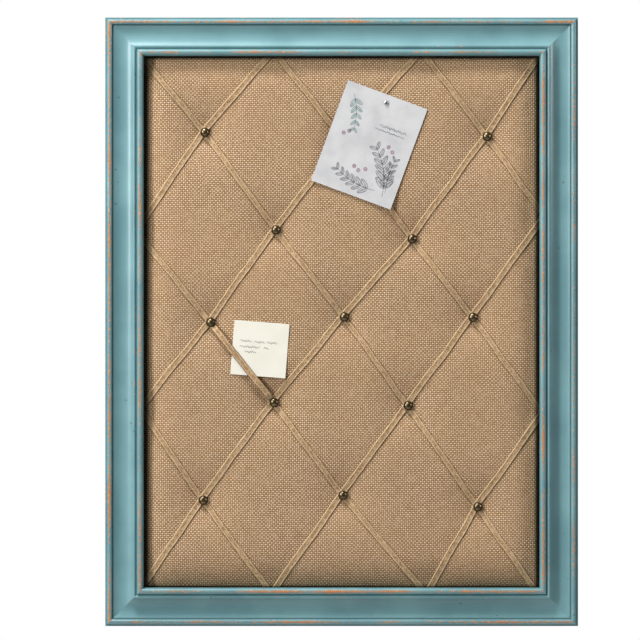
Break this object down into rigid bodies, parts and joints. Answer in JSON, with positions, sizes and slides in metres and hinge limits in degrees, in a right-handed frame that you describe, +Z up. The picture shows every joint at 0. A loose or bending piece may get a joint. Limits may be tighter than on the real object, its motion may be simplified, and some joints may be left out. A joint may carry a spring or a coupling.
{
  "type": "memo board",
  "caption": "French memo board: a mitred painted moulding round a tufted burlap panel, with crossing ribbons nailed at each crossing to hold notes and cards.",
  "frame": {"origin": "on the wall plane at the frame's back, midway between the two wall hooks that the raised D rings hang on", "axes": "+X across to the viewer's right, +Y into the wall, +Z up; the front faces -Y"},
  "size_m": [0.531, 0.0294, 0.6836],
  "materials": {
    "distressed_paint": "satin grey-teal paint rubbed through to orange-brown wood on the beads, dark in the quirks",
    "hardboard": "raw pressed fibre",
    "wadding": "matt",
    "burlap": "coarse plain weave",
    "jute_ribbon": "woven tape, smoother than the burlap",
    "antique_brass": "darkened, polished on the crown",
    "plated_steel": "zinc plated",
    "note_paper": "matt cream",
    "card_paper": "matt pale grey"
  },
  "bodies": {
    "framed_panel": {"top_rail": "distressed_paint", "right_stile": "distressed_paint", "bottom_rail": "distressed_paint", "left_stile": "distressed_paint", "v_nail_top_left_outer": "plated_steel", "v_nail_top_left_inner": "plated_steel", "v_nail_top_right_outer": "plated_steel", "v_nail_top_right_inner": "plated_steel", "v_nail_bottom_left_outer": "plated_steel", "v_nail_bottom_left_inner": "plated_steel", "v_nail_bottom_right_outer": "plated_steel", "v_nail_bottom_right_inner": "plated_steel", "framers_point_top_first": "plated_steel", "framers_point_top_second": "plated_steel", "framers_point_right_first": "plated_steel", "framers_point_right_second": "plated_steel", "framers_point_bottom_first": "plated_steel", "framers_point_bottom_second": "plated_steel", "framers_point_left_first": "plated_steel", "framers_point_left_second": "plated_steel", "hanger_strap_left": "plated_steel", "hanger_strap_right": "plated_steel", "hanger_screw_left_upper": "plated_steel", "hanger_screw_left_lower": "plated_steel", "hanger_screw_right_upper": "plated_steel", "hanger_screw_right_lower": "plated_steel", "ribbon_falling_1": "jute_ribbon", "ribbon_falling_2": "jute_ribbon", "ribbon_falling_3": "jute_ribbon", "ribbon_falling_4": "jute_ribbon", "ribbon_falling_5": "jute_ribbon", "ribbon_rising_1": "jute_ribbon", "ribbon_rising_2": "jute_ribbon", "ribbon_rising_3": "jute_ribbon", "ribbon_rising_4": "jute_ribbon", "ribbon_rising_5": "jute_ribbon", "nail_row1_left": "antique_brass", "nail_row1_middle": "antique_brass", "nail_row1_right": "antique_brass", "nail_row2_left": "antique_brass", "nail_row2_right": "antique_brass", "nail_row3_left": "antique_brass", "nail_row3_middle": "antique_brass", "nail_row3_right": "antique_brass", "nail_row4_left": "antique_brass", "nail_row4_right": "antique_brass", "nail_row5_left": "antique_brass", "nail_row5_middle": "antique_brass", "nail_row5_right": "antique_brass", "panel_board": "hardboard", "panel_padding": "wadding", "burlap_cover": "burlap"},
    "hanger_ring_left": {"hanger_ring_left": "plated_steel"},
    "hanger_ring_right": {"hanger_ring_right": "plated_steel"},
    "card_pin": {"card_pin": "plated_steel"},
    "pinned_card": {"pinned_card": "card_paper"},
    "memo_note": {"memo_note": "note_paper"}
  },
  "joints": [
    {"name": "left_ring_swing", "type": "hinge", "parent": "framed_panel", "child": "hanger_ring_left", "pos_m": [-0.24707, 0.00275, -0.014], "axis": [1, 0, 0], "range_deg": [0, 180]},
    {"name": "right_ring_swing", "type": "hinge", "parent": "framed_panel", "child": "hanger_ring_right", "pos_m": [0.24707, 0.00275, -0.014], "axis": [1, 0, 0], "range_deg": [0, 180]},
    {"name": "pin_pull", "type": "slide", "parent": "framed_panel", "child": "card_pin", "axis": [0, -1, 0], "range_m": [0, 0.016]},
    {"name": "card_swing", "type": "hinge", "parent": "card_pin", "child": "pinned_card", "pos_m": [0.05, -0.018, 0.052], "axis": [0, -1, 0], "range_deg": [-65, 105]},
    {"name": "note_slide", "type": "slide", "parent": "framed_panel", "child": "memo_note", "axis": [0.6348, 0, 0.7727], "range_m": [0, 0.032]}
  ]
}
